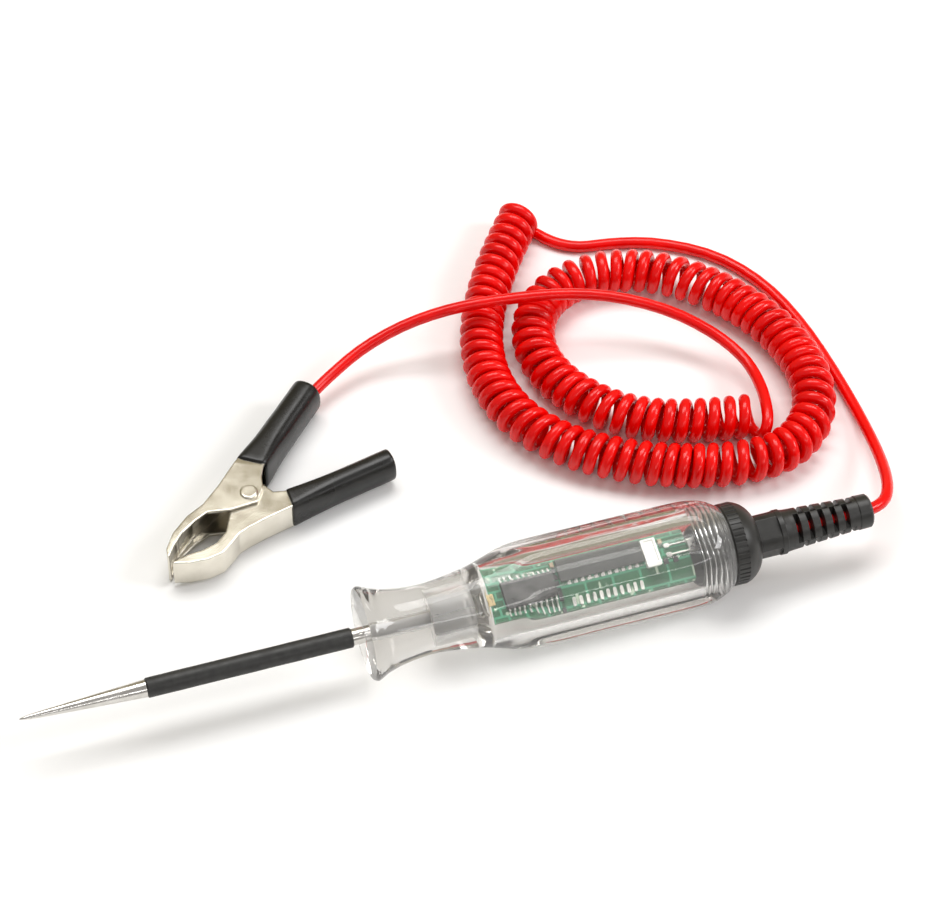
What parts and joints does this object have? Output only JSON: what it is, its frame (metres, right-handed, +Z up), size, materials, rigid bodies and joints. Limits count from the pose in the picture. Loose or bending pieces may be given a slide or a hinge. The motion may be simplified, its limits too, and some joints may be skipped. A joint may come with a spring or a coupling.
{
  "type": "circuit test light",
  "caption": "Handheld circuit tester: pointed probe, clear handle with a small display board inside, screw cap, curly cord and spring clip.",
  "frame": {"origin": "on the bench under the middle of the tester, its cord left out", "axes": "+X along the tester from the tip of the probe to the cord, +Z up"},
  "size_m": [0.2391, 0.1513, 0.0284],
  "materials": {
    "clear_plastic": "clear moulded plastic, polished",
    "nickel_plate": "bright nickel plate",
    "black_vinyl": "soft black vinyl, satin",
    "black_plastic": "moulded black plastic, satin",
    "red_cord": "glossy red insulation",
    "board_green": "green solder mask",
    "chip_black": "moulded black package",
    "tinned_metal": "tinned copper and solder",
    "display_glass": "dark grey display glass",
    "white_plastic": "white moulded plastic",
    "spring_steel": "plated spring wire",
    "part_ceramic": "ceramic surface part",
    "resistor_black": "resistor coating",
    "brass": "plain brass"
  },
  "bodies": {
    "handle": {"handle": "clear_plastic", "probe_rod": "nickel_plate", "probe_sleeve": "black_vinyl", "rod_collar": "brass", "front_contact_spring": "spring_steel"},
    "rear_unit": {"circuit_board": "board_green", "contact_disc": "brass", "chip_body": "chip_black", "chip_leads": "tinned_metal", "lcd_tray": "white_plastic", "lcd_glass": "display_glass", "lcd_pins": "tinned_metal", "backlight_strip": "white_plastic", "resistors": "resistor_black", "capacitors": "part_ceramic", "tinned_leads": "tinned_metal", "solder_pads": "tinned_metal", "solder_blob": "tinned_metal", "bared_conductor": "tinned_metal", "cord_inner_end": "red_cord", "strain_relief": "black_plastic", "lead_wire": "red_cord", "cord_coil": "red_cord", "tail_wire": "red_cord", "cord_clip_end": "red_cord", "clip_ferrule": "brass", "clip_outer_half": "nickel_plate", "clip_rivet": "nickel_plate", "clip_spring": "spring_steel", "grip_fixed": "black_vinyl"},
    "end_cap": {"end_cap": "black_plastic"},
    "clip_jaw": {"clip_inner_half": "nickel_plate", "grip_moving": "black_vinyl"}
  },
  "joints": [
    {"name": "cap_travel", "type": "slide", "parent": "handle", "child": "rear_unit", "axis": [1, 0, 0], "range_m": [0, 0.00875]},
    {"name": "cap_turn", "type": "hinge", "parent": "rear_unit", "child": "end_cap", "pos_m": [0.0722, 0, 0.01419], "axis": [1, 0, 0], "range_deg": [0, 2520.5]},
    {"name": "clip_open", "type": "hinge", "parent": "rear_unit", "child": "clip_jaw", "pos_m": [-0.0382, 0.056, 0.0056], "axis": [0, 0, 1], "range_deg": [0, 28], "stiffness_Nm_per_rad": 0.35, "springref_deg": -20.05, "deforming": ["clip_spring"]}
  ],
  "couplings": [
    {"joint": "cap_turn", "follows": "cap_travel", "rad_per_m": 5026.5}
  ]
}
